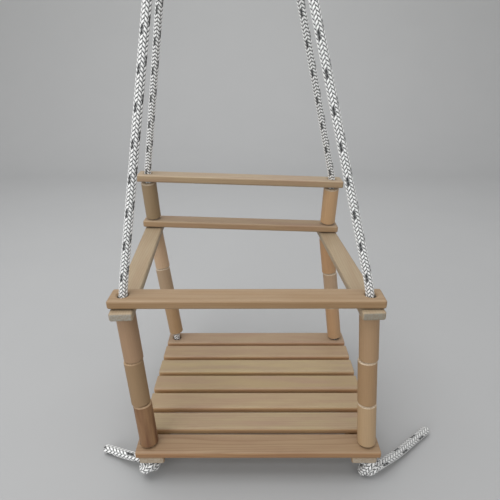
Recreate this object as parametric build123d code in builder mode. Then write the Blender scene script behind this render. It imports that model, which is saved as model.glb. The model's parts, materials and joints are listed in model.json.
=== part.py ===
from build123d import *
from math import pi, radians, sqrt, tan
import os

os.makedirs("parts", exist_ok=True)

# A wooden baby swing strung on braided rope. Millimetres, +Z up, the child faces -Y.
# The origin is where the user's hook bears inside the top of the hanging ring.

# hanging ring, a welded D with its straight bar at the bottom
ring_wire = 8
ring_width = 48              # between the centrelines of its two sides
ring_height = 44             # between the centrelines of its bar and its arch
ring_corner = 10

# rope
rope_diameter = 11
slack_diameter = rope_diameter + 2    # of the knots and tails, where nothing pulls on the rope
rope_hole = rope_diameter + 3
rope_gap = 0.5               # between the rope's inside and the ring's bar
bight_spacing = rope_diameter + 3    # between the two ropes where they cross the ring's bar
bight_leg = 14               # from the ring's bar down to where the two strands spread
bend_radius = 50             # where a taut rope changes direction at a hole

# seat, seven slats on two rails
seat_width = 350
seat_depth = 300
slat_count = 7
slat_gap = 8
slat_thickness = 12
slat_round = 4               # along a slat's long edges
slat_end_round = 1.5
rail_width = 36
rail_inset = 22              # from the end of a slat to the middle of its rail
rail_thickness = 12
rail_setback = 2             # from the seat's front and back edges to the rail's ends
seat_drop = 990              # from the ring's bar to the top of the seat
hole_inset = 17              # from the end of a slat or a bar to the middle of its rope hole

# bars of the upper frame
bar_length = seat_width      # so that the rope holes of the two line up
bar_width = 34
bar_thickness = 12
side_bar_width = 30
side_bar_overhang = 23       # past the rope hole, at each end
edge_round = 3
rim_chamfer = 2              # around every rope hole

# turned wooden tubes, threaded on the rope
bead_length = 69.5
bead_diameter = 26
bead_bore = rope_diameter + 3
bead_chamfer = 1.8
bead_gap = 0.4               # between two neighbours
beads_per_leg = 3
# each leg's tubes stand this far to the right of its line, from the lowest up, in their play
bead_steps = {
    ("left", "front"): (0.7, -0.7, 0.3),
    ("right", "front"): (-0.4, -0.6, 0.8),
    ("left", "rear"): (0.6, -0.5, 0.4),
    ("right", "rear"): (-0.5, 0.6, -0.3),
}

# how the strung frame hangs: it leans back and to the left over the seat,
# and the rear left beads stand clear of the seat
seat_offset_x = 51           # middle of the seat, from under the ring
seat_offset_y = -15
frame_setback = 16           # of the upper frame, behind the seat
front_lean = 15
back_lean = 28
rear_left_lift = 11
post_shift = 15              # the top back bar sits this far in front of the lower one
clear = 0.4                  # least gap between pieces that move on each other

# screws from under the rails into the slats
screw_length = 20
screw_diameter = 3.5
screw_head = 7
screw_clearance = 0.1
screw_offset = 12            # beside the rope hole, in the first and last slats
pilot_depth = screw_length - rail_thickness + 1
recess_length = 4
recess_width = 0.9
recess_depth = 1.2

# knots and free ends, tied by hand; each tail's points are measured from its knot's middle
# each knot's diameter and height, and how far its bulk sits to the right of its rope hole
knot_sizes = {
    ("left", "front"): (37, 30, 0),
    ("right", "front"): (33, 38, 6),
    ("left", "rear"): (35, 33, -3),
    ("right", "rear"): (35, 34, 3),
}
knot_round = 7
knot_stub = 12               # the rope's own length that counts as part of the knot
tail_points = {
    ("left", "front"): [(-21, 9, -1), (-47, 22, -9), (-68, 34, -15), (-85, 40, -16.5)],
    ("right", "front"): [(20, 1, -1), (51, 22, -5), (83, 50, -10), (120, 79, -12)],
    ("left", "rear"): [(9, 19, -1), (18, 37, -6), (34, 52, -13), (56, 60, -15)],
    ("right", "rear"): [(5, 21, -1), (9, 42, -6), (10, 65, -13), (3, 90, -14.5)],
}

# levels and places that follow from those sizes
bar_z = -ring_height + ring_wire / 2
seat_z = bar_z - seat_drop
rail_top = seat_z - slat_thickness
rail_bottom = rail_top - rail_thickness
slat_width = (seat_depth + slat_gap) / slat_count - slat_gap
slat_pitch = slat_width + slat_gap
hole_x = bar_length / 2 - hole_inset
seat_hole_x = seat_width / 2 - hole_inset
rail_x = seat_width / 2 - rail_inset
hole_y = seat_depth / 2 - slat_width / 2
bead_radius = bead_diameter / 2
stack_length = beads_per_leg * bead_length + (beads_per_leg - 1) * bead_gap
sides = {"left": -1, "right": 1}
ends = {"front": -1, "rear": 1}
lean = {"front": front_lean, "rear": back_lean}
leg_offset = {end: sqrt(lean[end] ** 2 + frame_setback**2) for end in ends}
corners = [(side, end) for end in ends for side in sides]


def tilt_clearance(offset, length):
    """Room that a tube needs at each end, so that its rim stays off the wood when it leans."""
    return clear + bead_radius * offset / length


def rise(offset, length):
    """Height between the two faces that a leaning tube of this length stands between."""
    straight = length + 2 * tilt_clearance(offset, length)
    return sqrt(straight**2 - offset**2)


# the back bars slope down to the right, and the left side bar slopes up to the rear
slope_room = bar_width / 2 * rear_left_lift / (2 * hole_y)
tilt_room = side_bar_width / 2 * rear_left_lift / (2 * hole_x)
side_bar_z = seat_z + max(rise(leg_offset[end], stack_length) for end in ends)
front_bar_rise = bar_thickness + clear + slope_room
back_bar_rise = bar_thickness + clear + slope_room + tilt_room
post_rise = rise(post_shift, bead_length)


def seat_hole(side, end):
    """Middle of a rope hole, on top of the seat."""
    x = seat_offset_x + sides[side] * seat_hole_x
    y = seat_offset_y + ends[end] * hole_y
    return Vector(x, y, seat_z)


def side_bar_hole(side, end):
    """Middle of a rope hole, on the underside of a side bar."""
    raised = rear_left_lift if (side, end) == ("left", "rear") else 0
    x = seat_offset_x + sides[side] * hole_x - lean[end]
    y = seat_offset_y + ends[end] * hole_y + frame_setback
    return Vector(x, y, side_bar_z + raised)


def front_bar_hole(side):
    return side_bar_hole(side, "front") + Vector(0, 0, front_bar_rise)


def lower_bar_hole(side):
    return side_bar_hole(side, "rear") + Vector(0, 0, back_bar_rise)


def upper_bar_hole(side):
    return lower_bar_hole(side) + Vector(0, -post_shift, bar_thickness + post_rise)


def ring_point(side, end, height):
    """Centre of the rope beside the ring's bar."""
    reach = ring_wire / 2 + rope_gap + rope_diameter / 2
    return Vector(sides[side] * bight_spacing / 2, ends[end] * reach, bar_z + height)


def bar_plane(start, finish):
    """Plane on the underside of a bar through two holes: its x axis runs along the bar."""
    along = finish - start
    up = along.cross(Vector(0, 0, 1).cross(along))
    return Plane(origin=(start + finish) * 0.5, x_dir=along, z_dir=up)


def make_bar(plane, size, hole_reach):
    """A flat bar with rounded edges, and a rope hole with eased rims at each end."""
    length, width, thickness = size
    with BuildPart() as bar:
        with BuildSketch(plane):
            Rectangle(length, width)
        extrude(amount=thickness)
        fillet(bar.edges(), edge_round)
        with BuildSketch(plane):
            with Locations((-hole_reach, 0), (hole_reach, 0)):
                Circle(rope_hole / 2)
        extrude(amount=thickness, mode=Mode.SUBTRACT)
        rims = bar.edges().filter_by(GeomType.CIRCLE)
        chamfer(rims.filter_by(lambda rim: abs(rim.radius - rope_hole / 2) < 0.01), rim_chamfer)
    return bar


def make_tube(bottom, top):
    """A turned wooden tube between two points on its axis."""
    with BuildPart() as tube:
        with BuildSketch(Plane(origin=bottom, z_dir=top - bottom)):
            Circle(bead_diameter / 2)
            Circle(bead_bore / 2, mode=Mode.SUBTRACT)
        extrude(amount=(top - bottom).length)
        rims = tube.edges().filter_by(GeomType.CIRCLE)
        chamfer(rims.filter_by(lambda rim: rim.radius > bead_diameter / 2 - 0.01), bead_chamfer)
    return tube


def taut_radii(points):
    return [bend_radius] * (len(points) - 2)


def free_radii(points):
    """As large as the runs allow: 0.45 of the shorter run over the tangent of half the turn."""
    radii = []
    for before, corner, after in zip(points, points[1:], points[2:]):
        run = corner - before
        next_run = after - corner
        half_turn = radians(run.get_angle(next_run)) / 2
        radii.append(0.45 * min(run.length, next_run.length) / tan(half_turn))
    return radii


def make_rope(name, points, radii, diameter=rope_diameter):
    """A round rope along straight runs joined by arcs; prints its length and radii."""
    with BuildPart() as rope:
        with BuildLine() as route:
            FilletPolyline(*points, radius=radii)
        centreline = route.wires()[0]
        with BuildSketch(Plane(origin=centreline @ 0, z_dir=centreline % 0)):
            Circle(diameter / 2)
        sweep(path=centreline)
    expected = pi * (diameter / 2) ** 2 * centreline.length
    print(name, "length", round(centreline.length, 1),
          "radii", [round(radius) for radius in radii],
          "volume over section times length", round(rope.part.volume / expected, 4))
    return rope


# ---- the ring ----
half_width = ring_width / 2
arch_z = ring_wire / 2 - half_width
with BuildPart() as hanging_ring:
    with BuildLine(Plane.XZ) as ring_line:
        Line((0, bar_z), (half_width - ring_corner, bar_z))
        JernArc((half_width - ring_corner, bar_z), (1, 0), ring_corner, 90)
        Line((half_width, bar_z + ring_corner), (half_width, arch_z))
        ThreePointArc((half_width, arch_z), (0, ring_wire / 2), (-half_width, arch_z))
        Line((-half_width, arch_z), (-half_width, bar_z + ring_corner))
        JernArc((-half_width, bar_z + ring_corner), (0, -1), ring_corner, 90)
        Line((ring_corner - half_width, bar_z), (0, bar_z))
    with BuildSketch(Plane(origin=(0, 0, bar_z), z_dir=(1, 0, 0))):
        Circle(ring_wire / 2)
    sweep(path=ring_line.wires()[0])
hanging_ring.part.label = "hanging_ring"
export_step(hanging_ring.part, "parts/hanging_ring.step")

# ---- the seat ----


def screw_places(side):
    """Where the screws of one rail go, in plan: beside the rope holes, and mid-slat between."""
    x = seat_offset_x + sides[side] * rail_x
    rows = [seat_offset_y - hole_y + number * slat_pitch for number in range(slat_count)]
    rows[0] += screw_offset
    rows[-1] -= screw_offset
    return [(x, y) for y in rows]


def rope_places(side):
    return [(seat_hole(side, end).X, seat_hole(side, end).Y) for end in ends]


for number in range(slat_count):
    slat_y = seat_offset_y - hole_y + number * slat_pitch
    with BuildPart() as slat:
        with BuildSketch(Plane.XY.offset(rail_top)):
            with Locations((seat_offset_x, slat_y)):
                Rectangle(seat_width, slat_width)
        extrude(amount=slat_thickness)
        fillet(slat.edges().filter_by(Axis.X), slat_round)
        fillet(slat.faces().filter_by(Axis.X).edges(), slat_end_round)
        with BuildSketch(Plane.XY.offset(rail_top)):
            with Locations(*[screw_places(side)[number] for side in sides]):
                Circle(screw_diameter / 2 + screw_clearance)
        extrude(amount=pilot_depth, mode=Mode.SUBTRACT)
        if number in (0, slat_count - 1):
            end = "front" if number == 0 else "rear"
            with BuildSketch(Plane.XY.offset(rail_top)):
                with Locations(*[(seat_hole(side, end).X, slat_y) for side in sides]):
                    Circle(rope_hole / 2)
            extrude(amount=slat_thickness, mode=Mode.SUBTRACT)
            top_face = slat.faces().sort_by(Axis.Z)[-1]
            chamfer(top_face.edges().filter_by(GeomType.CIRCLE), rim_chamfer)
    slat.part.label = f"slat_{number + 1}"
    export_step(slat.part, f"parts/slat_{number + 1}.step")

for side in sides:
    with BuildPart() as rail:
        with BuildSketch(Plane.XY.offset(rail_bottom)):
            with Locations((seat_offset_x + sides[side] * rail_x, seat_offset_y)):
                Rectangle(rail_width, seat_depth - 2 * rail_setback)
        extrude(amount=rail_thickness)
        fillet(rail.edges(), edge_round)
        with BuildSketch(Plane.XY.offset(rail_bottom)):
            with Locations(*rope_places(side)):
                Circle(rope_hole / 2)
        extrude(amount=rail_thickness, mode=Mode.SUBTRACT)
        with Locations(Plane(origin=(0, 0, rail_bottom), x_dir=(1, 0, 0), z_dir=(0, 0, -1))):
            with Locations(*[(x, -y) for x, y in screw_places(side)]):
                CounterSinkHole(screw_diameter / 2 + screw_clearance, screw_head / 2)
    rail.part.label = f"{side}_rail"
    export_step(rail.part, f"parts/{side}_rail.step")

# countersunk wood screws, driven up through the rails
head_height = (screw_head - screw_diameter) / 2
with BuildPart() as slat_screws:
    with Locations(*[(x, y, rail_bottom) for side in sides for x, y in screw_places(side)]):
        Cylinder(screw_diameter / 2, screw_length, align=(Align.CENTER, Align.CENTER, Align.MIN))
        Cone(screw_head / 2, screw_diameter / 2, head_height,
             align=(Align.CENTER, Align.CENTER, Align.MIN))
        for turn in (0, 90):
            Box(recess_length, recess_width, recess_depth, rotation=(0, 0, turn),
                align=(Align.CENTER, Align.CENTER, Align.MIN), mode=Mode.SUBTRACT)
slat_screws.part.label = "slat_screws"
export_step(slat_screws.part, "parts/slat_screws.step")

# ---- the upper frame ----
for side in sides:
    plane = bar_plane(side_bar_hole(side, "front"), side_bar_hole(side, "rear"))
    reach = (side_bar_hole(side, "rear") - side_bar_hole(side, "front")).length / 2
    size = (2 * (reach + side_bar_overhang), side_bar_width, bar_thickness)
    side_bar = make_bar(plane, size, reach)
    side_bar.part.label = f"{side}_side_bar"
    export_step(side_bar.part, f"parts/{side}_side_bar.step")

cross_bars = {
    "front_bar": front_bar_hole,
    "lower_back_bar": lower_bar_hole,
    "upper_back_bar": upper_bar_hole,
}
for name, hole in cross_bars.items():
    plane = bar_plane(hole("left"), hole("right"))
    reach = (hole("right") - hole("left")).length / 2
    cross_bar = make_bar(plane, (bar_length, bar_width, bar_thickness), reach)
    cross_bar.part.label = name
    export_step(cross_bar.part, f"parts/{name}.step")

# ---- turned tubes: three to a leg, and one a side between the two back bars ----
for side, end in corners:
    top = side_bar_hole(side, end)
    down = (seat_hole(side, end) - top).normalized()
    start = top + down * tilt_clearance(leg_offset[end], stack_length)
    for number in range(beads_per_leg, 0, -1):
        finish = start + down * bead_length
        step = Vector(bead_steps[side, end][number - 1], 0, 0)
        bead = make_tube(finish + step, start + step)
        bead.part.label = f"{end}_{side}_bead_{number}"
        export_step(bead.part, f"parts/{end}_{side}_bead_{number}.step")
        start = finish + down * bead_gap

for side in sides:
    post_foot = lower_bar_hole(side) + Vector(0, 0, bar_thickness)
    up = (upper_bar_hole(side) - post_foot).normalized()
    foot = post_foot + up * tilt_clearance(post_shift, bead_length)
    post_bead = make_tube(foot, foot + up * bead_length)
    post_bead.part.label = f"{side}_post_bead"
    export_step(post_bead.part, f"parts/{side}_post_bead.step")

# ---- ropes: one on the left and one on the right, each over the ring ----
through_bar = Vector(0, 0, bar_thickness)
for side in sides:
    # front: knot, rail, slat, leg and side bar, then up through the front bar
    bar_top = front_bar_hole(side) + through_bar
    parting = front_bar_hole(side) - Vector(0, 0, (clear + slope_room) / 2)
    foot = seat_hole(side, "front")
    below = Vector(foot.X, foot.Y, rail_bottom)
    leg_points = [below, foot, side_bar_hole(side, "front"), parting]
    strand_points = [parting, bar_top, ring_point(side, "front", -bight_leg)]
    strand_points.append(ring_point(side, "front", 0))
    routes = {f"front_{side}_leg_rope": leg_points, f"front_{side}_strand": strand_points}

    # rear: the same, and on through both back bars and the tube between them
    foot = seat_hole(side, "rear")
    below = Vector(foot.X, foot.Y, rail_bottom)
    post_foot = lower_bar_hole(side) + through_bar
    post_top = upper_bar_hole(side)
    parting = (post_foot + post_top) * 0.5
    leg_points = [below, foot, side_bar_hole(side, "rear"), post_foot, parting]
    strand_points = [parting, post_top, post_top + through_bar]
    strand_points += [ring_point(side, "rear", -bight_leg), ring_point(side, "rear", 0)]
    routes[f"rear_{side}_leg_rope"] = leg_points
    routes[f"rear_{side}_strand"] = strand_points

    for name, points in routes.items():
        rope = make_rope(name, points, taut_radii(points))
        rope.part.label = name
        export_step(rope.part, f"parts/{name}.step")

    # over the ring's bar
    with BuildPart() as bight:
        with BuildLine() as route:
            ThreePointArc(ring_point(side, "front", 0),
                          Vector(sides[side] * bight_spacing / 2, 0,
                                 bar_z + ring_point(side, "rear", 0).Y),
                          ring_point(side, "rear", 0))
        with BuildSketch(Plane(origin=ring_point(side, "front", 0), z_dir=(0, 0, 1))):
            Circle(rope_diameter / 2)
        sweep(path=route.wires()[0])
    bight.part.label = f"{side}_bight"
    export_step(bight.part, f"parts/{side}_bight.step")

# ---- knots under the rails, and their free ends ----
for side, end in corners:
    hole = seat_hole(side, end)
    diameter, height, shift = knot_sizes[side, end]
    middle = Vector(hole.X + shift, hole.Y, rail_bottom - height / 2)
    points = [middle + Vector(*offset) for offset in tail_points[side, end]]
    outward = (points[1] - points[0]).normalized()
    with BuildPart() as knot:
        with Locations(middle):
            Cylinder(diameter / 2, height)
        fillet(knot.edges().filter_by(GeomType.CIRCLE), knot_round)
        with BuildSketch(Plane(origin=points[0], z_dir=-outward)):
            Circle(slack_diameter / 2)
        extrude(amount=knot_stub)
    knot.part.label = f"{end}_{side}_knot"
    export_step(knot.part, f"parts/{end}_{side}_knot.step")
    tail = make_rope(f"{end}_{side}_tail", points, free_radii(points), slack_diameter)
    tail.part.label = f"{end}_{side}_tail"
    export_step(tail.part, f"parts/{end}_{side}_tail.step")
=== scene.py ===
import bpy
import json
import math
from mathutils import Matrix, Vector


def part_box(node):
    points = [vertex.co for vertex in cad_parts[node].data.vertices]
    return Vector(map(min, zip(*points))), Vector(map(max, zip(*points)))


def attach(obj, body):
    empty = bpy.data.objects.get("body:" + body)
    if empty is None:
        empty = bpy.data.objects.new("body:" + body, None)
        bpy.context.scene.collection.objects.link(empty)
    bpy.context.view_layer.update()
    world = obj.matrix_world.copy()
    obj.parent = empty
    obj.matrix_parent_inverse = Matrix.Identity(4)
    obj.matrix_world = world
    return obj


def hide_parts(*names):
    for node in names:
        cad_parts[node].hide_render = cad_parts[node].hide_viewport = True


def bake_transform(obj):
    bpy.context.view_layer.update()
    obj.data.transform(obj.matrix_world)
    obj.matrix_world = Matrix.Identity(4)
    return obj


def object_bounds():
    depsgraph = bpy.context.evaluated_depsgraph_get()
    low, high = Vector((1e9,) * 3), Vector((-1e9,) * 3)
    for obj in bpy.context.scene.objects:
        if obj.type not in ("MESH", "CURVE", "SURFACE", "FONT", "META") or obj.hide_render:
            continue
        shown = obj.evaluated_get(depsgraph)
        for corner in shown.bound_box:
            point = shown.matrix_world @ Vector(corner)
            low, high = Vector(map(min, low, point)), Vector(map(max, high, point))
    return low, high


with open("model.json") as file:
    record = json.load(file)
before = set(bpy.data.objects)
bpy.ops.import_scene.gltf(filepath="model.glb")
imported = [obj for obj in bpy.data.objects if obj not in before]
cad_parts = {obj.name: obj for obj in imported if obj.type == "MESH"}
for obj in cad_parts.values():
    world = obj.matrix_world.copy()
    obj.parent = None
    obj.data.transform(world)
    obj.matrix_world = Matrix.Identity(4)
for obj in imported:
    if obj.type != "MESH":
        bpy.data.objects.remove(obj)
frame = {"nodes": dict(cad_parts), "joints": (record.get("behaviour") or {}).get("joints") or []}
cadBox = [list(corner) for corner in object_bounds()]
nodes = frame["nodes"]
scene = bpy.context.scene
scene.view_settings.view_transform = "Standard"
print("frame loaded:", len(nodes), "nodes")


def toLinear(hexColour):
    channels = [int(hexColour[i:i + 2], 16) / 255 for i in (1, 3, 5)]
    return [c / 12.92 if c < 0.04045 else ((c + 0.055) / 1.055) ** 2.4 for c in channels] + [1]


def addNode(tree, kind, settings=None, links=None):
    # a node's own properties go by name, its sockets by name or number
    node = tree.nodes.new("ShaderNode" + kind)
    for key, value in (settings or {}).items():
        if isinstance(key, str) and hasattr(node, key):
            setattr(node, key, value)
        else:
            node.inputs[key].default_value = value
    for key, socket in (links or {}).items():
        tree.links.new(socket, node.inputs[key])
    return node


def newMaterial(name):
    material = bpy.data.materials.new(name)
    material.use_nodes = True
    material.node_tree.nodes.clear()
    return material, material.node_tree


def perMetre(sizes):
    # a texture's scale along each axis, from the size of its features in millimetres
    return [1000 / size for size in sizes]


def setStops(ramp, stops):
    elements = ramp.color_ramp.elements
    while len(elements) < len(stops):
        elements.new(0.5)
    for element, (position, level) in zip(elements, stops):
        element.position = position
        element.color = (level, level, level, 1)


def dress(name, material):
    slots = nodes[name].data.materials
    slots.clear()
    slots.append(material)


def newPiece(name, points, faces, material):
    mesh = bpy.data.meshes.new(name)
    mesh.from_pydata(points, [], faces)
    mesh.polygons.foreach_set("use_smooth", [True] * len(faces))
    mesh.materials.append(material)
    piece = bpy.data.objects.new(name, mesh)
    scene.collection.objects.link(piece)
    return piece


# camera: a little above the bars, looking down into the seat
camera = {
    "place": (0.04229, -0.61594, -0.52160),
    "tiltDown": 23.394,
    "turnRight": -0.21,
    "roll": -0.206,
    "lens": 31.296,
    "sensor": 36,
    "near": 0.05,
    "far": 20,
}

tilt, turn, roll = (math.radians(camera[k]) for k in ("tiltDown", "turnRight", "roll"))
forward = Vector((math.sin(turn) * math.cos(tilt), math.cos(turn) * math.cos(tilt), -math.sin(tilt)))
level = Vector((math.cos(turn), -math.sin(turn), 0))
above = level.cross(forward)
acrossAxis = level * math.cos(roll) + above * math.sin(roll)
upAxis = above * math.cos(roll) - level * math.sin(roll)
cameraData = bpy.data.cameras.new("camera")
cameraData.lens = camera["lens"]
cameraData.sensor_width = camera["sensor"]
cameraData.clip_start = camera["near"]
cameraData.clip_end = camera["far"]
cameraObject = bpy.data.objects.new("camera", cameraData)
cameraObject.matrix_world = Matrix.Translation(camera["place"]) @ Matrix(
    (acrossAxis, upAxis, -forward)).transposed().to_4x4()
scene.collection.objects.link(cameraObject)
scene.camera = cameraObject
print("camera placed")


# rope: 11 mm braid with two dark yarns, threaded through the whole frame; lengths in millimetres
rope = {
    "diameter": 11,
    "slack": 13,          # the free ends swell where nothing pulls on them
    "inKnot": 13,
    "columns": 8,         # herringbone columns round the rope
    "pitch": 41,          # one yarn's way once round, along the rope
    "slant": 0.75,        # how far a stitch leans across its column, in yarns
    "seam": 0.75,         # how far a stitch sits ahead of the next column's, in yarns: as bricks do
    "rearSeam": 0.25,     # the rear ropes' stitches line up, so that they still show further off
    "yarnRelief": 1.0,    # how far a yarn stands out
    "crownRise": 1.15,    # a crown's height as a share of that
    "seamHeight": 0.4,    # a yarn's height where it dives under the next column
    "diveSharpness": 0.35,
    "sealedEnd": 0.8,     # length of a cut end's rounding, in radii
    "endFlat": 0.06,
    "smoothness": 24,     # points between two of a route's
    "ringStep": 0.65,     # along the rope, between two rings of the mesh
    "stepsPerColumn": 6,
}


def ropeLine(route):
    # a smooth line through the route's given points, in millimetres
    curve = bpy.data.curves.new("route", "CURVE")
    curve.dimensions = "3D"
    curve.resolution_u = rope["smoothness"]
    spline = curve.splines.new("NURBS")
    spline.points.add(len(route) - 1)
    for point, place in zip(spline.points, route):
        point.co = (*place, 1)
    spline.order_u = 3
    spline.use_endpoint_u = True
    holder = bpy.data.objects.new("route", curve)
    mesh = bpy.data.meshes.new_from_object(holder)
    points = [vertex.co.copy() for vertex in mesh.vertices]
    bpy.data.objects.remove(holder)
    bpy.data.curves.remove(curve)
    bpy.data.meshes.remove(mesh)
    return points


def evenly(points, step):
    lengths = [0]
    for a, b in zip(points, points[1:]):
        lengths.append(lengths[-1] + (b - a).length)
    count = max(2, round(lengths[-1] / step))
    result, k = [], 0
    for i in range(count + 1):
        at = lengths[-1] * i / count
        while k < len(points) - 2 and lengths[k + 1] < at:
            k += 1
        span = lengths[k + 1] - lengths[k]
        result.append(points[k].lerp(points[k + 1], (at - lengths[k]) / span if span else 0))
    return result, lengths[-1] / count


def braidHeight(around, along, seam):
    # around in columns and along in yarns; 0 in a groove, 1 on a yarn's crown
    column = math.floor(around)
    across = around - column
    if column % 2 == 0:
        place = along - rope["slant"] * across
    else:
        place = along + rope["slant"] * across + seam
    side = abs(2 * (place - math.floor(place)) - 1)
    crown = math.sqrt(max(0, 1 - side ** 2))
    dive = math.sin(math.pi * across) ** rope["diveSharpness"]
    return crown * (rope["seamHeight"] + (1 - rope["seamHeight"]) * dive)


def braid(name, line, material, diameter, start=0, pitch=rope["pitch"], seam=rope["seam"],
          taperEnd=False):
    # a tube along the line whose skin is the yarns themselves
    rings, spacing = evenly(line, rope["ringStep"])
    columns = rope["columns"]
    sides = columns * rope["stepsPerColumn"]
    yarnSpacing = pitch / columns
    radius = diameter / 2
    relief = rope["yarnRelief"]
    total = spacing * (len(rings) - 1)
    points, faces, coords = [], [], []
    heading = (rings[1] - rings[0]).normalized()
    side = heading.orthogonal().normalized()
    for i, centre in enumerate(rings):
        ahead = rings[min(i + 1, len(rings) - 1)] - rings[max(i - 1, 0)]
        turned = heading.rotation_difference(ahead.normalized())
        heading = ahead.normalized()
        side = turned @ side
        side = (side - heading * side.dot(heading)).normalized()
        other = heading.cross(side)
        at = i * spacing
        shrink = 1
        if taperEnd:
            # the cut end is sealed with heat, so it rounds over
            left = max(0, (total - at) / (radius * rope["sealedEnd"]))
            shrink = math.sqrt(max(rope["endFlat"], 1 - (1 - min(1, left)) ** 2))
        for k in range(sides):
            turnShare = k / sides
            height = braidHeight(turnShare * columns, (at + start) / yarnSpacing, seam)
            reach = (radius - relief * (1 - rope["crownRise"] * height)) * shrink
            angle = 2 * math.pi * turnShare
            points.append((centre + side * math.cos(angle) * reach
                           + other * math.sin(angle) * reach) / 1000)
    for i in range(len(rings) - 1):
        low, high = (i * spacing + start) / pitch, ((i + 1) * spacing + start) / pitch
        for k in range(sides):
            n = (k + 1) % sides
            faces.append((i * sides + k, i * sides + n, (i + 1) * sides + n, (i + 1) * sides + k))
            coords += [(k / sides, low), ((k + 1) / sides, low),
                       ((k + 1) / sides, high), (k / sides, high)]
    for i, last in ((0, False), (len(rings) - 1, True)):
        points.append(rings[i] / 1000)
        for k in range(sides):
            n = (k + 1) % sides
            rim = (i * sides + k, i * sides + n) if last else (i * sides + n, i * sides + k)
            faces.append((*rim, len(points) - 1))
            coords += [(k / sides, (i * spacing + start) / pitch)] * 3
    piece = newPiece(name, points, faces, material)
    layer = piece.data.uv_layers.new(name="braid")
    layer.data.foreach_set("uv", [value for pair in coords for value in pair])
    return piece, [ring / 1000 for ring in rings]


# the yarns' look; widths are shares of a yarn
yarns = {
    "grooveTo": 0.88,
    "underTo": 1.05,
    "tracers": 2,         # dark yarns side by side
    "tracerWidth": 0.66,
    "filaments": 11,      # to a yarn 5 mm wide, so 0.5 mm apart
    "soilSize": 16.67,    # patches of grey, in millimetres
    "soil": 0.1,
}


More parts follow.
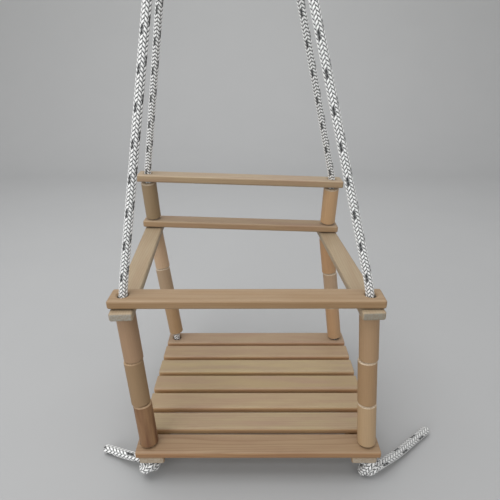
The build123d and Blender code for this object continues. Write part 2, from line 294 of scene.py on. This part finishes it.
def braidedPolyester(name, yarn, tracer, grooveShadeAndSoil, grooveFrom=0.4, underFrom=0.66,
                     seam=rope["seam"]):
    # bright filament polyester: soft silky gloss on each yarn, painted grey shade in the grooves
    # between, and two dark tracer yarns side by side that show as pairs of short dashes
    material, tree = newMaterial(name)
    place = addNode(tree, "UVMap", {"uv_map": "braid"})
    split = addNode(tree, "SeparateXYZ", links={0: place.outputs[0]})
    around = addNode(tree, "Math", {"operation": "MULTIPLY", 1: rope["columns"]},
                     {0: split.outputs[0]})
    along = addNode(tree, "Math", {"operation": "MULTIPLY", 1: rope["columns"]},
                    {0: split.outputs[1]})
    column = addNode(tree, "Math", {"operation": "FLOOR"}, {0: around.outputs[0]})
    isRising = addNode(tree, "Math", {"operation": "MODULO", 1: 2}, {0: column.outputs[0]})
    across = addNode(tree, "Math", {"operation": "FRACT"}, {0: around.outputs[0]})
    lean = addNode(tree, "Math", {"operation": "MULTIPLY", 1: rope["slant"]},
                   {0: across.outputs[0]})
    falling = addNode(tree, "Math", {"operation": "SUBTRACT"},
                      {0: along.outputs[0], 1: lean.outputs[0]})
    rising = addNode(tree, "Math", {"operation": "ADD"}, {0: along.outputs[0], 1: lean.outputs[0]})
    risen = addNode(tree, "Math", {"operation": "ADD", 1: seam}, {0: rising.outputs[0]})
    yarnPlace = addNode(tree, "Mix", {"data_type": "FLOAT"},
                        {0: isRising.outputs[0], 2: falling.outputs[0], 3: risen.outputs[0]})
    share = addNode(tree, "Math", {"operation": "FRACT"}, {0: yarnPlace.outputs[0]})
    off = addNode(tree, "Math", {"operation": "MULTIPLY_ADD", 1: 2, 2: -1}, {0: share.outputs[0]})
    side = addNode(tree, "Math", {"operation": "ABSOLUTE"}, {0: off.outputs[0]})
    fromMiddle = addNode(tree, "Math", {"operation": "MULTIPLY_ADD", 1: 2, 2: -1},
                         {0: across.outputs[0]})
    endShare = addNode(tree, "Math", {"operation": "ABSOLUTE"}, {0: fromMiddle.outputs[0]})
    between = addNode(tree, "MapRange",
                      {"interpolation_type": "SMOOTHSTEP", 1: grooveFrom, 2: yarns["grooveTo"]},
                      {0: side.outputs[0]})
    under = addNode(tree, "MapRange",
                    {"interpolation_type": "SMOOTHSTEP", 1: underFrom, 2: yarns["underTo"]},
                    {0: endShare.outputs[0]})
    grooveShadeMask = addNode(tree, "Math", {"operation": "MAXIMUM"},
                         {0: between.outputs[0], 1: under.outputs[0]})
    # the tracers are yarns of the falling family, a little thinner than their neighbours, so
    # white shows round each dash
    yarnCount = addNode(tree, "Math", {"operation": "FLOOR"}, {0: falling.outputs[0]})
    turned = addNode(tree, "Math", {"operation": "SUBTRACT"},
                     {0: yarnCount.outputs[0], 1: column.outputs[0]})
    middled = addNode(tree, "Math", {"operation": "ADD", 1: 0.5}, {0: turned.outputs[0]})
    wholeTurn = addNode(tree, "Math", {"operation": "DIVIDE", 1: rope["columns"]},
                        {0: middled.outputs[0]})
    which = addNode(tree, "Math", {"operation": "FRACT"}, {0: wholeTurn.outputs[0]})
    isTracer = addNode(tree, "Math",
                       {"operation": "LESS_THAN", 1: yarns["tracers"] / rope["columns"]},
                       {0: which.outputs[0]})
    fromCrown = addNode(tree, "Math", {"operation": "MAXIMUM"},
                        {0: side.outputs[0], 1: endShare.outputs[0]})
    isCrown = addNode(tree, "Math", {"operation": "LESS_THAN", 1: yarns["tracerWidth"]},
                      {0: fromCrown.outputs[0]})
    onCrown = addNode(tree, "Math", {"operation": "MULTIPLY"},
                      {0: isTracer.outputs[0], 1: isCrown.outputs[0]})
    isFalling = addNode(tree, "Math", {"operation": "SUBTRACT", 0: 1.0}, {1: isRising.outputs[0]})
    tracerMask = addNode(tree, "Math", {"operation": "MULTIPLY"},
                         {0: onCrown.outputs[0], 1: isFalling.outputs[0]})
    filamentTurn = addNode(tree, "Math",
                           {"operation": "MULTIPLY", 1: 2 * math.pi * yarns["filaments"]},
                           {0: yarnPlace.outputs[0]})
    filamentWave = addNode(tree, "Math", {"operation": "SINE"}, {0: filamentTurn.outputs[0]})
    objectPlace = addNode(tree, "TexCoord")
    soil = addNode(tree, "TexNoise", {"Scale": 1000 / yarns["soilSize"], "Detail": 3},
                   {"Vector": objectPlace.outputs["Object"]})
    soilShare = addNode(tree, "MapRange", {1: 0.35, 2: 0.75, 3: 0.0, 4: yarns["soil"]},
                        {0: soil.outputs[0]})
    plain = addNode(tree, "MixRGB", {"Color1": toLinear(yarn), "Color2": toLinear(grooveShadeAndSoil)},
                    {"Fac": soilShare.outputs[0]})
    # painted shade: the grooves between the yarns, and the places where a yarn dives under the next
    # column, are drawn grey; the soil patches take the same grey
    grooveShaded = addNode(tree, "MixRGB", {"Color2": toLinear(grooveShadeAndSoil)},
                   {"Fac": grooveShadeMask.outputs[0], "Color1": plain.outputs[0]})
    marked = addNode(tree, "MixRGB", {"Color2": toLinear(tracer)},
                     {"Fac": tracerMask.outputs[0], "Color1": grooveShaded.outputs[0]})
    bump = addNode(tree, "Bump", {"Strength": 0.3, "Distance": 0.0002},
                   {"Height": filamentWave.outputs[0]})
    surface = addNode(tree, "BsdfPrincipled", {"Roughness": 0.45, "IOR": 1.57, "Sheen Weight": 0.2},
                      {"Base Color": marked.outputs[0], "Normal": bump.outputs[0]})
    addNode(tree, "OutputMaterial", links={"Surface": surface.outputs[0]})
    return material


ropeCloth = braidedPolyester("braidedPolyester", yarn="#fbfcfb", tracer="#0c0f11", grooveShadeAndSoil="#3a3d3f")
# the rear ropes are further off, so the painted shade in their grooves is drawn wider and darker
rearCloth = braidedPolyester("braidedPolyesterRear", yarn="#fbfcfb", tracer="#0c0f11",
                             grooveShadeAndSoil="#2b2e30", grooveFrom=0.36, underFrom=0.7,
                             seam=rope["rearSeam"])
# one free end is drawn greyer all over, with a paler painted shade in its grooves
greyerCloth = braidedPolyester("braidedPolyesterGreyer", yarn="#d9dad9", tracer="#15181a",
                                grooveShadeAndSoil="#6f7173")

# each rope's points, in millimetres: up out of the seat, through the frame and on to the ring;
# its length is in metres
frontRopes = {
    "left": {
        "leg": [(-107, -147, -1054), (-107, -147, -1030), (-110.4, -143.4, -983)],
        "strand": [(-112.8, -140.8, -948), (-118.9, -134.3, -862), (-122, -131, -818.3),
                   (-122, -131, -793.2), (-112, -120.5, -729), (-17, -20.5, -118),
                   (-7, -10, -54), (-7, -10, -40)],
        "legLength": 0.071,
        "strandLength": 0.927,
    },
    "right": {
        "leg": [(209, -147, -1054), (209, -147, -1030), (205.6, -143.4, -983)],
        "strand": [(203.2, -140.8, -948), (197.1, -134.3, -862), (194, -131, -818.3),
                   (194, -131, -793.2), (178, -120.7, -730), (23, -20.3, -117),
                   (7, -10, -54), (7, -10, -40)],
        "legLength": 0.071,
        "strandLength": 0.941,
    },
}
rearRopes = {
    "left": {
        "route": [(-107, 117, -1054), (-107, 117, -1030), (-115, 121.5, -970), (-129, 129.5, -860),
                  (-135, 133, -807.3), (-135, 133, -781.7), (-135, 118, -707.3),
                  (-135, 118, -695.3), (-122.3, 107.2, -631), (-19.7, 20.8, -118), (-7, 10, -54),
                  (-7, 10, -30), (-7, -10, -30), (-7, -10, -40)],
        "length": 1.069,
    },
    "right": {
        "route": [(209, 117, -1054), (209, 117, -1030), (201, 121.5, -970), (187, 129.5, -860),
                  (181, 133, -818.3), (181, 133, -792.7), (181, 118, -718.3), (181, 118, -706.3),
                  (164.2, 107.6, -643), (23.8, 20.4, -117), (7, 10, -54), (7, 10, -30),
                  (7, -10, -30), (7, -10, -40)],
        "length": 1.079,
    },
}

for side, one in frontRopes.items():
    cap = side.capitalize()
    lower, path = braid(f"front{cap}LegRope", ropeLine(one["leg"]), ropeCloth, rope["diameter"])
    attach(lower, "swing")
    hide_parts(f"front_{side}_leg_rope")
    upper, path = braid(f"front{cap}Strand", ropeLine(one["strand"]), ropeCloth, rope["diameter"],
                        start=12)
    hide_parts(f"front_{side}_strand")
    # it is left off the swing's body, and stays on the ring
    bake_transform(upper)

for side, one in rearRopes.items():
    cap = side.capitalize()
    whole, path = braid(f"rear{cap}Rope", ropeLine(one["route"]), rearCloth, rope["diameter"],
                        start=31, seam=rope["rearSeam"])
    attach(whole, "swing")
    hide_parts(f"rear_{side}_leg_rope", f"rear_{side}_strand", f"{side}_bight")
print("ropes strung")


# knots hang under the rails, and a tail runs out of each one and down to the floor; shift is how
# far a knot sits beside its hole, hand is which way it turns, and a tail's points are measured
# from the knot's middle, all in millimetres
knots = {
    "frontLeft": {
        "hole": (-107, -147), "width": 37, "height": 26, "shift": -4, "hand": 1,
        "tail": [(-10.7, 3.8, 1.2), (-19, 9, -2), (-44, 22, -10), (-64, 34, -16), (-81, 40, -18)],
        "tailLength": 0.083, "pitch": 62, "cloth": ropeCloth,
    },
    "frontRight": {
        "hole": (209, -147), "width": 33, "height": 38, "shift": 6, "hand": 1,
        "tail": [(10.1, -5.7, 0.3), (20, 1, -1), (51, 22, -5), (83, 50, -10), (120, 79, -12)],
        "tailLength": 0.139, "pitch": 48, "cloth": greyerCloth,
    },
    "rearLeft": {
        "hole": (-107, 117), "width": 35, "height": 33, "shift": -3, "hand": 1,
        "tail": [(3.8, 8.6, 1.9), (9, 19, -1), (18, 37, -6), (34, 52, -13), (56, 60, -15)],
        "tailLength": 0.079, "pitch": 41, "cloth": ropeCloth,
    },
    "rearRight": {
        "hole": (209, 117), "width": 35, "height": 34, "shift": 3, "hand": -1,
        "tail": [(2.8, 9.5, 1.7), (5, 21, -1), (9, 42, -6), (10, 65, -13), (3, 90, -14.5)],
        "tailLength": 0.083, "pitch": 41, "cloth": ropeCloth,
    },
}
tie = {
    "inHole": 4,          # where the knot's rope starts above the rail's underside
    "below": 3,
    "steps": 26,          # to one whole knot, and the first and last few are left out
    "firstStep": 3,
    "lastSteps": 2,
    "reach": 0.74,        # how far out the rope runs on average, and how far it weaves in and out
    "weave": 0.26,
}
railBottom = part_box("left_rail")[0].z * 1000


def knotLine(one, middle):
    # an overhand knot drawn tight: the rope goes round twice, up and down three times, and its
    # end comes out towards the tail
    wide = (one["width"] - rope["inKnot"]) / 2
    tall = (one["height"] - rope["inKnot"]) / 2
    tailStart = Vector(one["tail"][1])
    outward = Vector((tailStart.x, tailStart.y, 0)).normalized()
    sideways = Vector((-outward.y, outward.x, 0)) * one["hand"]
    hole = Vector((one["hole"][0], one["hole"][1], 0))
    line = [hole + Vector((0, 0, railBottom + tie["inHole"])),
            hole + Vector((0, 0, railBottom - tie["below"]))]
    for i in range(tie["firstStep"], tie["steps"] - tie["lastSteps"]):
        angle = 2 * math.pi * i / tie["steps"]
        reach = wide * (tie["reach"] + tie["weave"] * math.cos(3 * angle))
        line.append(middle + outward * reach * math.cos(2 * angle)
                    + sideways * reach * math.sin(2 * angle)
                    + Vector((0, 0, tall * math.sin(3 * angle))))
    line.append(middle + Vector(one["tail"][0]))
    line.append(middle + tailStart)
    return line


for name, one in knots.items():
    node = name.replace("Left", "_left").replace("Right", "_right")
    middle = Vector((one["hole"][0] + one["shift"], one["hole"][1],
                     railBottom - one["height"] / 2))
    knot, _ = braid(name + "Knot", ropeLine(knotLine(one, middle)), ropeCloth, rope["inKnot"],
                    start=20)
    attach(knot, "swing")
    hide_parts(node + "_knot")
    tailRoute = [middle + Vector(offset) for offset in one["tail"]]
    tail, path = braid(name + "Tail", ropeLine(tailRoute), one["cloth"], rope["slack"], start=5,
                       pitch=one["pitch"], taperEnd=True)
    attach(tail, "swing")
    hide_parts(node + "_tail")
print("knots tied")


# how the wood is drawn: sizes are in millimetres, along the grain and then across it
wood = {
    "wanderSize": (400, 41.67, 41.67),      # the rings' slow wander
    "wander": 16,                           # how far it carries them
    "fibreSize": (31.25, 0.5263, 0.5263),
    "patchSize": (111.1, 11.76, 11.76),     # patches of the pinker tone
    "fuzzSize": 2.381,                      # torn pores on a sawn end
    "endTone": "#a59c8c",
    "endFrom": 0.8,                         # how squarely an end has to cross the grain
    "bump": 0.3,
    "bumpDepth": 0.0004,
}


def pine(name, tones, grain, pith, seed=0.0, depth=0.3, ringPitch=3.2,
         ends=(wood["endTone"], wood["endFrom"]), uprightBounceShade=None, latheStep=0):
    # planed or turned pine, sanded and left raw: pale early wood that drifts to a pinker tone,
    # thin straight lines of late wood, a dry satin face, painted warm bounce light and shade on the
    # upright faces, and greyer, rougher sawn ends; ringPitch and latheStep are in millimetres
    early, blush, late = tones
    material, tree = newMaterial(name)
    grainAxis = Vector(grain).normalized()
    turnToX = grainAxis.rotation_difference(Vector((1, 0, 0))).to_euler()
    place = addNode(tree, "TexCoord")
    board = addNode(tree, "Mapping", {"Location": pith, "Rotation": turnToX},
                    {"Vector": place.outputs["Object"]})
    shifted = addNode(tree, "VectorMath", {"operation": "ADD", 1: (seed * 3.7, 0, 0)},
                      {0: board.outputs[0]})
    wanderPlace = addNode(tree, "Mapping", {"Scale": perMetre(wood["wanderSize"])},
                          {"Vector": shifted.outputs[0]})
    wander = addNode(tree, "TexNoise", {"Scale": 1, "Detail": 2}, {"Vector": wanderPlace.outputs[0]})
    wanderBy = addNode(tree, "Math", {"operation": "MULTIPLY", 1: wood["wander"] / 1000},
                       {0: wander.outputs[0]})
    flat = addNode(tree, "VectorMath", {"operation": "MULTIPLY", 1: (0, 1, 1)}, {0: board.outputs[0]})
    fromPith = addNode(tree, "VectorMath", {"operation": "LENGTH"}, {0: flat.outputs[0]})
    warped = addNode(tree, "Math", {"operation": "ADD"},
                     {0: fromPith.outputs["Value"], 1: wanderBy.outputs[0]})
    rings = addNode(tree, "Math", {"operation": "DIVIDE", 1: ringPitch / 1000},
                    {0: warped.outputs[0]})
    year = addNode(tree, "Math", {"operation": "FRACT"}, {0: rings.outputs[0]})
    lateShare = addNode(tree, "ValToRGB", links={"Fac": year.outputs[0]})
    setStops(lateShare, [(0.0, 0), (0.5, 0.12), (0.86, 1), (0.98, 0.1)])
    fibrePlace = addNode(tree, "Mapping", {"Scale": perMetre(wood["fibreSize"])},
                         {"Vector": shifted.outputs[0]})
    fibre = addNode(tree, "TexNoise", {"Scale": 1, "Detail": 3, "Roughness": 0.6},
                    {"Vector": fibrePlace.outputs[0]})
    patchPlace = addNode(tree, "Mapping", {"Scale": perMetre(wood["patchSize"])},
                         {"Vector": shifted.outputs[0]})
    patch = addNode(tree, "TexNoise", {"Scale": 1, "Detail": 3}, {"Vector": patchPlace.outputs[0]})
    patchShare = addNode(tree, "MapRange", {1: 0.38, 2: 0.66}, {0: patch.outputs[0]})
    body = addNode(tree, "MixRGB", {"Color1": toLinear(early), "Color2": toLinear(blush)},
                   {"Fac": patchShare.outputs[0]})
    lateBy = addNode(tree, "Math", {"operation": "MULTIPLY", 1: depth},
                     {0: lateShare.outputs["Color"]})
    colour = addNode(tree, "MixRGB", {"Color2": toLinear(late)},
                     {"Fac": lateBy.outputs[0], "Color1": body.outputs[0]})
    fibreTone = addNode(tree, "MapRange", {1: 0.25, 2: 0.75, 3: 0.93, 4: 1.06},
                        {0: fibre.outputs[0]})
    toned = addNode(tree, "VectorMath", {"operation": "SCALE"},
                    {0: colour.outputs[0], "Scale": fibreTone.outputs[0]})
    if uprightBounceShade:
        # painted warm bounce light and shade on the upright faces: on the slats they come out redder
        # than the flat faces, on the bars darker and a little warm
        normal = addNode(tree, "SeparateXYZ", links={0: place.outputs["Normal"]})
        upright = addNode(tree, "Math", {"operation": "ABSOLUTE"}, {0: normal.outputs[2]})
        uprightShadeShare = addNode(tree, "MapRange", {1: 0.75, 2: 0.25}, {0: upright.outputs[0]})
        uprightShadeTint = addNode(tree, "Mix", {"data_type": "VECTOR", 4: (1, 1, 1), 5: uprightBounceShade},
                       {0: uprightShadeShare.outputs[0]})
        toned = addNode(tree, "VectorMath", {"operation": "MULTIPLY"},
                        {0: toned.outputs[0], 1: uprightShadeTint.outputs[1]})
    # sawn ends, whose open pores look greyer, and the eased rims of the tubes, drawn paler: partly
    # their open end grain, partly a painted highlight
    endTone, endFrom = ends
    facing = addNode(tree, "VectorMath", {"operation": "DOT_PRODUCT", 1: grainAxis},
                     {0: place.outputs["Normal"]})
    facingSize = addNode(tree, "Math", {"operation": "ABSOLUTE"}, {0: facing.outputs["Value"]})
    endMask = addNode(tree, "MapRange", {1: endFrom, 2: endFrom + 0.1, 3: 0, 4: 0.9},
                      {0: facingSize.outputs[0]})
    fuzz = addNode(tree, "TexNoise", {"Scale": 1000 / wood["fuzzSize"], "Detail": 3},
                   {"Vector": place.outputs["Object"]})
    fuzzShare = addNode(tree, "MapRange", {1: 0.4, 2: 0.75, 3: 0, 4: 0.6}, {0: fuzz.outputs[0]})
    # on the tubes this paints their rims pale: partly open end grain, partly a painted highlight
    sawn = addNode(tree, "MixRGB", {"Color1": toLinear(endTone), "Color2": toLinear(late)},
                   {"Fac": fuzzShare.outputs[0]})
    ended = addNode(tree, "MixRGB", links={"Fac": endMask.outputs[0], "Color1": toned.outputs[0],
                                           "Color2": sawn.outputs[0]})
    height = addNode(tree, "Math", {"operation": "MULTIPLY_ADD", 1: 0.35},
                     {0: lateShare.outputs["Color"], 2: fibre.outputs[0]})
    if latheStep:
        # faint swells left by the lathe; a wave texture turns through 20 radians for each unit
        lathe = addNode(tree, "TexWave", {"wave_type": "BANDS", "bands_direction": "X",
                                          "Scale": 2 * math.pi * 1000 / latheStep / 20,
                                          "Distortion": 0.4},
                        {"Vector": board.outputs[0]})
        height = addNode(tree, "Math", {"operation": "MULTIPLY_ADD", 1: 0.3},
                         {0: lathe.outputs["Fac"], 2: height.outputs[0]})
    bump = addNode(tree, "Bump", {"Strength": wood["bump"], "Distance": wood["bumpDepth"]},
                   {"Height": height.outputs[0]})
    roughness = addNode(tree, "MapRange", {1: 0.2, 2: 0.8, 3: 0.52, 4: 0.68},
                        {0: fibre.outputs[0]})
    surface = addNode(tree, "BsdfPrincipled", {"IOR": 1.5},
                      {"Base Color": ended.outputs[0], "Roughness": roughness.outputs[0],
                       "Normal": bump.outputs[0]})
    addNode(tree, "OutputMaterial", links={"Surface": surface.outputs[0]})
    return material


# tones are early wood, the pinker drift and late wood; the upright faces multiply by a painted warm
# bounce light and shade
slats = {
    "tones": [      # from the front slat to the rear one; the last two are a little darker, painted shade from the frame over them
        ("#9a8164", "#93785d", "#785a3e"), ("#a49273", "#9e866f", "#836648"),
        ("#a89475", "#a1886f", "#856648"), ("#a38f6e", "#9f876f", "#846547"),
        ("#a89674", "#a08c72", "#836546"), ("#a28c6f", "#9b826b", "#826547"),
        ("#a08b71", "#9a806a", "#7f6148"),
    ],
    "depth": 0.2,
    # painted warm bounce light and shade, which the slats' upright faces multiply by
    "uprightBounceShade": (1.15, 0.96, 0.78),
    "frontDepth": 0.42,     # the front slat has bolder rings and a darker, less red painted shade on its upright faces
    "frontUprightBounceShade": (1.02, 0.86, 0.7),
}
for i, tones in enumerate(slats["tones"]):
    isFront = i == 0
    dress(f"slat_{i + 1}", pine(
        f"planedPineSlat{i + 1}", tones, grain=(1, 0, 0), seed=1.3 * i + 0.4,
        depth=slats["frontDepth"] if isFront else slats["depth"],
        uprightBounceShade=slats["frontUprightBounceShade"] if isFront else slats["uprightBounceShade"],
        pith=(0, 0.12 + 0.031 * i, 1.08 + 0.009 * (i % 3))))

rails = {
    "tones": ("#a08b70", "#9b826a", "#80634a"),
    "endTone": "#ab9f8d",
    "seeds": {"left": 3.1, "right": 5.7},
}
for side, seed in rails["seeds"].items():
    dress(f"{side}_rail", pine(
        f"planedPine{side.capitalize()}Rail", rails["tones"], grain=(0, 1, 0), seed=seed,
        pith=(0, 0.05, 1.09), ends=(rails["endTone"], wood["endFrom"])))

sideBars = {
    "tones": ("#9f8f76", "#9a876e", "#80664c"),
    "depth": 0.25,
    "endTones": {"left": "#97948a", "right": "#8b887c"},
    "seeds": {"left": 2.1, "right": 4.7},
}
for side, seed in sideBars["seeds"].items():
    dress(f"{side}_side_bar", pine(
        f"planedPine{side.capitalize()}SideBar", sideBars["tones"], grain=(0, 1, 0), seed=seed,
        depth=sideBars["depth"], pith=(0, 0.09, 0.88),
        ends=(sideBars["endTones"][side], wood["endFrom"])))

crossBars = {
    "tones": {
        "front_bar": ("#9b8469", "#957c5f", "#795c40"),
        "lower_back_bar": ("#a08b71", "#9a816b", "#826345"),
        "upper_back_bar": ("#a2927a", "#9b8672", "#816449"),
    },
    "depth": 0.22,
    # painted shade, a little warm, which the bars' upright faces multiply by
    "uprightBounceShade": (0.95, 0.87, 0.74),
}
for i, (name, tones) in enumerate(crossBars["tones"].items()):
    dress(name, pine(
        f"planedPineBar{i + 1}", tones, grain=(1, 0, 0), seed=7.1 + i, depth=crossBars["depth"],
        uprightBounceShade=crossBars["uprightBounceShade"], pith=(0, 0.16 - 0.05 * i, 0.85 + 0.03 * i)))

tubes = {
    # each tube's early wood tone; the darker tones of the front left tubes are painted shade on that
    # leg
    "early": {
        "front_left_bead_3": "#987b5f", "front_left_bead_2": "#8e7455",
        "front_left_bead_1": "#92704d", "front_right_bead_3": "#9e8161",
        "front_right_bead_2": "#9a7c5a", "front_right_bead_1": "#ab906e",
        "rear_left_bead_3": "#ba9d7f", "rear_left_bead_2": "#a38b70",
        "rear_left_bead_1": "#9f815f", "rear_right_bead_3": "#b28c66",
        "rear_right_bead_2": "#ab9176", "rear_right_bead_1": "#ad8b68",
        "left_post_bead": "#917c5f", "right_post_bead": "#b99771",
    },
    "paintedShadePatches": {"front_left_bead_1": "#644027"},     # the one tube with dark brown patches, painted shade
    "late": "#7f5f41",
    "depth": 0.1,
    "ringPitch": 2.6,
    # the tubes' eased rims are drawn pale: partly open end grain, partly a painted highlight
    "rim": "#c9b9a2",
    # the front left tubes' rims are darker: painted shade
    "frontLeftRim": "#a98f70",
    "rimFrom": 0.56,
    "latheStep": 5.655,
}
for i, (name, early) in enumerate(tubes["early"].items()):
    axis = next((joint["axis"] for joint in frame["joints"] if joint["child"] == name), (0, 0, 1))
    # the front left leg's rims take the darker tone, painted shade
    rim = tubes["frontLeftRim"] if name.startswith("front_left") else tubes["rim"]
    dress(name, pine(
        "turnedPine" + name.title().replace("_", ""),
        (early, tubes["paintedShadePatches"].get(name, early), tubes["late"]), grain=axis, seed=0.9 * i,
        depth=tubes["depth"], pith=(0, 0.03 + 0.006 * (i % 4), 0.02),
        ringPitch=tubes["ringPitch"], ends=(rim, tubes["rimFrom"]),
        latheStep=tubes["latheStep"]))
print("wood dressed")


# steel: the sizes of the plating's clouds and of its scuffs are in millimetres
steel = {
    "ring": ("#c3c7ca", "#a3a7aa"),
    "screws": ("#c9c8c0", "#a9a79e"),
    "cloudSize": 5.556,
    "scuffSize": 1.111,
}


def zincPlate(name, tone, dull):
    # bright zinc over drawn steel wire: a cool, slightly clouded grey with soft reflections
    material, tree = newMaterial(name)
    place = addNode(tree, "TexCoord")
    cloud = addNode(tree, "TexNoise", {"Scale": 1000 / steel["cloudSize"], "Detail": 4},
                    {"Vector": place.outputs["Object"]})
    cloudShare = addNode(tree, "MapRange", {1: 0.35, 2: 0.7}, {0: cloud.outputs[0]})
    colour = addNode(tree, "MixRGB", {"Color1": toLinear(tone), "Color2": toLinear(dull)},
                     {"Fac": cloudShare.outputs[0]})
    scuff = addNode(tree, "TexNoise", {"Scale": 1000 / steel["scuffSize"], "Detail": 3},
                    {"Vector": place.outputs["Object"]})
    roughness = addNode(tree, "MapRange", {1: 0.3, 2: 0.75, 3: 0.28, 4: 0.46},
                        {0: scuff.outputs[0]})
    bump = addNode(tree, "Bump", {"Strength": 0.15, "Distance": 0.0002},
                   {"Height": scuff.outputs[0]})
    surface = addNode(tree, "BsdfPrincipled", {"Metallic": 1.0},
                      {"Base Color": colour.outputs[0], "Roughness": roughness.outputs[0],
                       "Normal": bump.outputs[0]})
    addNode(tree, "OutputMaterial", links={"Surface": surface.outputs[0]})
    return material


dress("hanging_ring", zincPlate("zincPlatedWire", *steel["ring"]))
dress("slat_screws", zincPlate("zincPlatedScrews", *steel["screws"]))
print("steel dressed")


# the stage: pale paper that sweeps up behind, a broad lamp above, a weaker one in front, and one
# behind the swing that is aimed at the paper; sizes in metres
stage = {
    "floor": "#a4a5a6",
    "wall": "#b0b1b1",
    "room": "#b4b5b5",
    "roomGlow": "#faf9f8",
    "roomLight": 0.74,
    "width": 7,
    "front": -3,
    "back": 2.6,
    "height": 3.4,
    "curve": 0.9,
    "curveSteps": 16,
    "gap": 0.0005,        # between the floor and the lowest knot
    "paintedLightRise": 1.6,      # height over which the floor's tone turns into the wall's lighter one, painted light that evens out the weaker light up the wall
    "toothSize": 200,     # soft unevenness of the paper, in millimetres
}
floorLevel = cadBox[0][2] - stage["gap"]


def mattPaper():
    # uncoated studio paper, rolled: flat, painted lighter up the wall to stand in for light that
    # falls off there, and it keeps the swing's shadow
    material, tree = newMaterial("mattPaper")
    place = addNode(tree, "TexCoord")
    split = addNode(tree, "SeparateXYZ", links={0: place.outputs["Object"]})
    rise = addNode(tree, "MapRange", {1: floorLevel, 2: floorLevel + stage["paintedLightRise"]},
                   {0: split.outputs[2]})
    tooth = addNode(tree, "TexNoise", {"Scale": 1000 / stage["toothSize"], "Detail": 2},
                    {"Vector": place.outputs["Object"]})
    share = addNode(tree, "Math", {"operation": "MULTIPLY_ADD", 1: 0.25},
                    {0: tooth.outputs[0], 2: rise.outputs[0]})
    # painted light: the wall's tone is lighter than the floor's
    colour = addNode(tree, "MixRGB",
                     {"Color1": toLinear(stage["floor"]), "Color2": toLinear(stage["wall"])},
                     {"Fac": share.outputs[0]})
    surface = addNode(tree, "BsdfPrincipled", {"Roughness": 0.9}, {"Base Color": colour.outputs[0]})
    addNode(tree, "OutputMaterial", links={"Surface": surface.outputs[0]})
    return material


profile = [(stage["front"], 0)]
for i in range(stage["curveSteps"] + 1):
    angle = math.pi / 2 * i / stage["curveSteps"]
    profile.append((stage["back"] - stage["curve"] + stage["curve"] * math.sin(angle),
                    stage["curve"] * (1 - math.cos(angle))))
profile.append((stage["back"], stage["height"]))
sweepPoints = [(x * stage["width"] / 2, y, floorLevel + z) for y, z in profile for x in (-1, 1)]
sweepFaces = [(2 * i, 2 * i + 1, 2 * i + 3, 2 * i + 2) for i in range(len(profile) - 1)]
sweep = newPiece("paperSweep", sweepPoints, sweepFaces, mattPaper())

# an even white room for light, seen and reflected as the same grey as the paper
world = bpy.data.worlds.new("studio")
scene.world = world
world.use_nodes = True
tree = world.node_tree
tree.nodes.clear()
ray = addNode(tree, "LightPath")
seen = addNode(tree, "Math", {"operation": "MAXIMUM"},
               {0: ray.outputs["Is Camera Ray"], 1: ray.outputs["Is Glossy Ray"]})
seenThrough = addNode(tree, "Math", {"operation": "MAXIMUM"},
                      {0: seen.outputs[0], 1: ray.outputs["Is Transmission Ray"]})
room = addNode(tree, "Background",
               {"Color": toLinear(stage["roomGlow"]), "Strength": stage["roomLight"]})
backdrop = addNode(tree, "Background", {"Color": toLinear(stage["room"]), "Strength": 1})
mixed = addNode(tree, "MixShader",
                links={0: seenThrough.outputs[0], 1: room.outputs[0], 2: backdrop.outputs[0]})
addNode(tree, "OutputWorld", links={"Surface": mixed.outputs[0]})

lamps = {
    "overhead": {"place": (-0.45, -0.35, 1.1), "aim": (0.05, 0, -0.85), "size": 1.8, "power": 26},
    "front": {"place": (-1.2, -2.0, -0.1), "aim": (0.05, 0, -0.85), "size": 1.4, "power": 16},
    "paper": {"place": (0.0, 0.9, 0.9), "aim": (0, 2.6, -0.5), "size": 1.6, "power": 13},
}
for name, one in lamps.items():
    data = bpy.data.lights.new(name, "AREA")
    data.shape = "DISK"
    data.size = one["size"]
    data.energy = one["power"]
    lamp = bpy.data.objects.new(name, data)
    lamp.location = one["place"]
    lamp.rotation_mode = "QUATERNION"
    lamp.rotation_quaternion = (Vector(one["aim"]) - lamp.location).to_track_quat("-Z", "Y")
    lamp.visible_camera = False
    scene.collection.objects.link(lamp)
print("stage lit")
